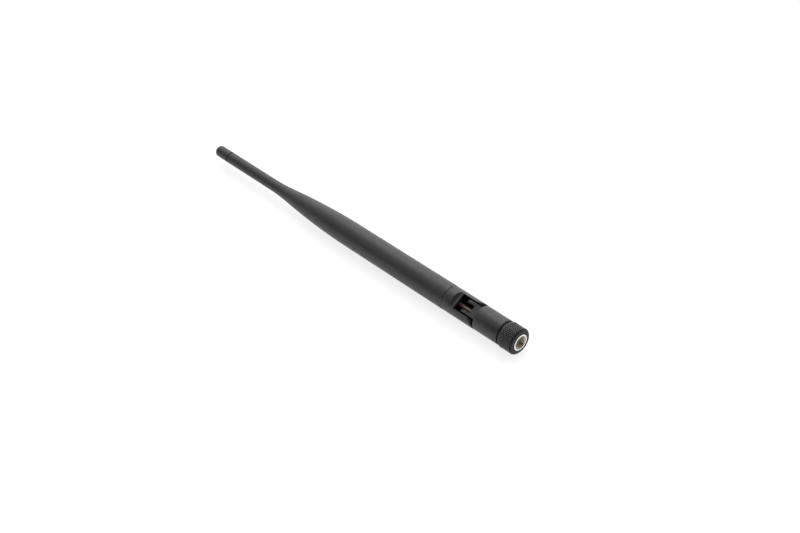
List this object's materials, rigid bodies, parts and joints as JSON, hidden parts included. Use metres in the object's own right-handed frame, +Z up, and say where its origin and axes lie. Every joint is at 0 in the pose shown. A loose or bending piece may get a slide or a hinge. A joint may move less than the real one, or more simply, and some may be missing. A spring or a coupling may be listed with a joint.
{
  "type": "omnidirectional antenna",
  "caption": "Black swivelling and tilting dipole antenna with a tapered tube, a rounded tip and a knurled screw-on coaxial plug.",
  "frame": {"origin": "on the axis at the plug's reference plane, the front end of its outer conductor", "axes": "+X along the antenna out of the plug's mouth, +Z up with the antenna lying flat; the tilt hinge's slot faces 30 degrees off +Z towards -Y"},
  "size_m": [0.2, 0.0126, 0.0126],
  "materials": {
    "radome_plastic": "satin black moulded plastic",
    "hinge_plastic": "satin black moulded plastic",
    "grip_plastic": "knurled satin black plastic",
    "nickel": "bright nickel plate",
    "gold_plate": "gold plate on brass",
    "spring_steel": "plain spring steel",
    "black_rubber": "matt",
    "red_silicone": "matt",
    "ptfe": "waxy white",
    "brown_fep": "glossy translucent brown",
    "silver_braid": "woven silvered copper",
    "silvered_core": "silvered steel wire",
    "brass": "drawn brass",
    "heat_shrink": "matt black polyolefin",
    "foam": "closed-cell foam"
  },
  "bodies": {
    "connector": {"connector_body": "gold_plate", "connector_insulator": "ptfe", "socket_contact": "gold_plate", "face_gasket": "red_silicone", "nut_snap_ring": "spring_steel", "swivel_o_ring": "black_rubber", "swivel_retaining_ring": "spring_steel", "crimp_ferrule": "gold_plate"},
    "nut": {"coupling_nut": "nickel", "grip_sleeve": "grip_plastic"},
    "base": {"swivel_bush": "hinge_plastic", "swivel_base": "hinge_plastic"},
    "arm": {"hinge_clevis": "hinge_plastic", "radome_tube": "radome_plastic", "tip_cap": "radome_plastic", "dipole_sleeve": "brass", "sleeve_spacer": "ptfe", "feed_heat_shrink": "heat_shrink", "radiator_wire": "brass", "phasing_coil": "brass", "whip_wire": "brass", "foam_spacer_lower": "foam", "foam_spacer_upper": "foam", "cable_core": "silvered_core", "cable_dielectric": "ptfe", "cable_braid": "silver_braid", "cable_jacket": "brown_fep"}
  },
  "joints": [
    {"name": "nut_spin", "type": "hinge", "parent": "connector", "child": "nut", "pos_m": [0, 0, 0], "axis": [1, 0, 0], "continuous": true},
    {"name": "base_swivel", "type": "hinge", "parent": "connector", "child": "base", "pos_m": [-0.0073, 0, 0], "axis": [1, 0, 0], "range_deg": [-180, 180]},
    {"name": "arm_tilt", "type": "hinge", "parent": "base", "child": "arm", "pos_m": [-0.0255, 0, 0], "axis": [0, 0.866, 0.5], "range_deg": [0, 90], "deforming": ["cable_core", "cable_dielectric", "cable_braid", "cable_jacket"]}
  ]
}
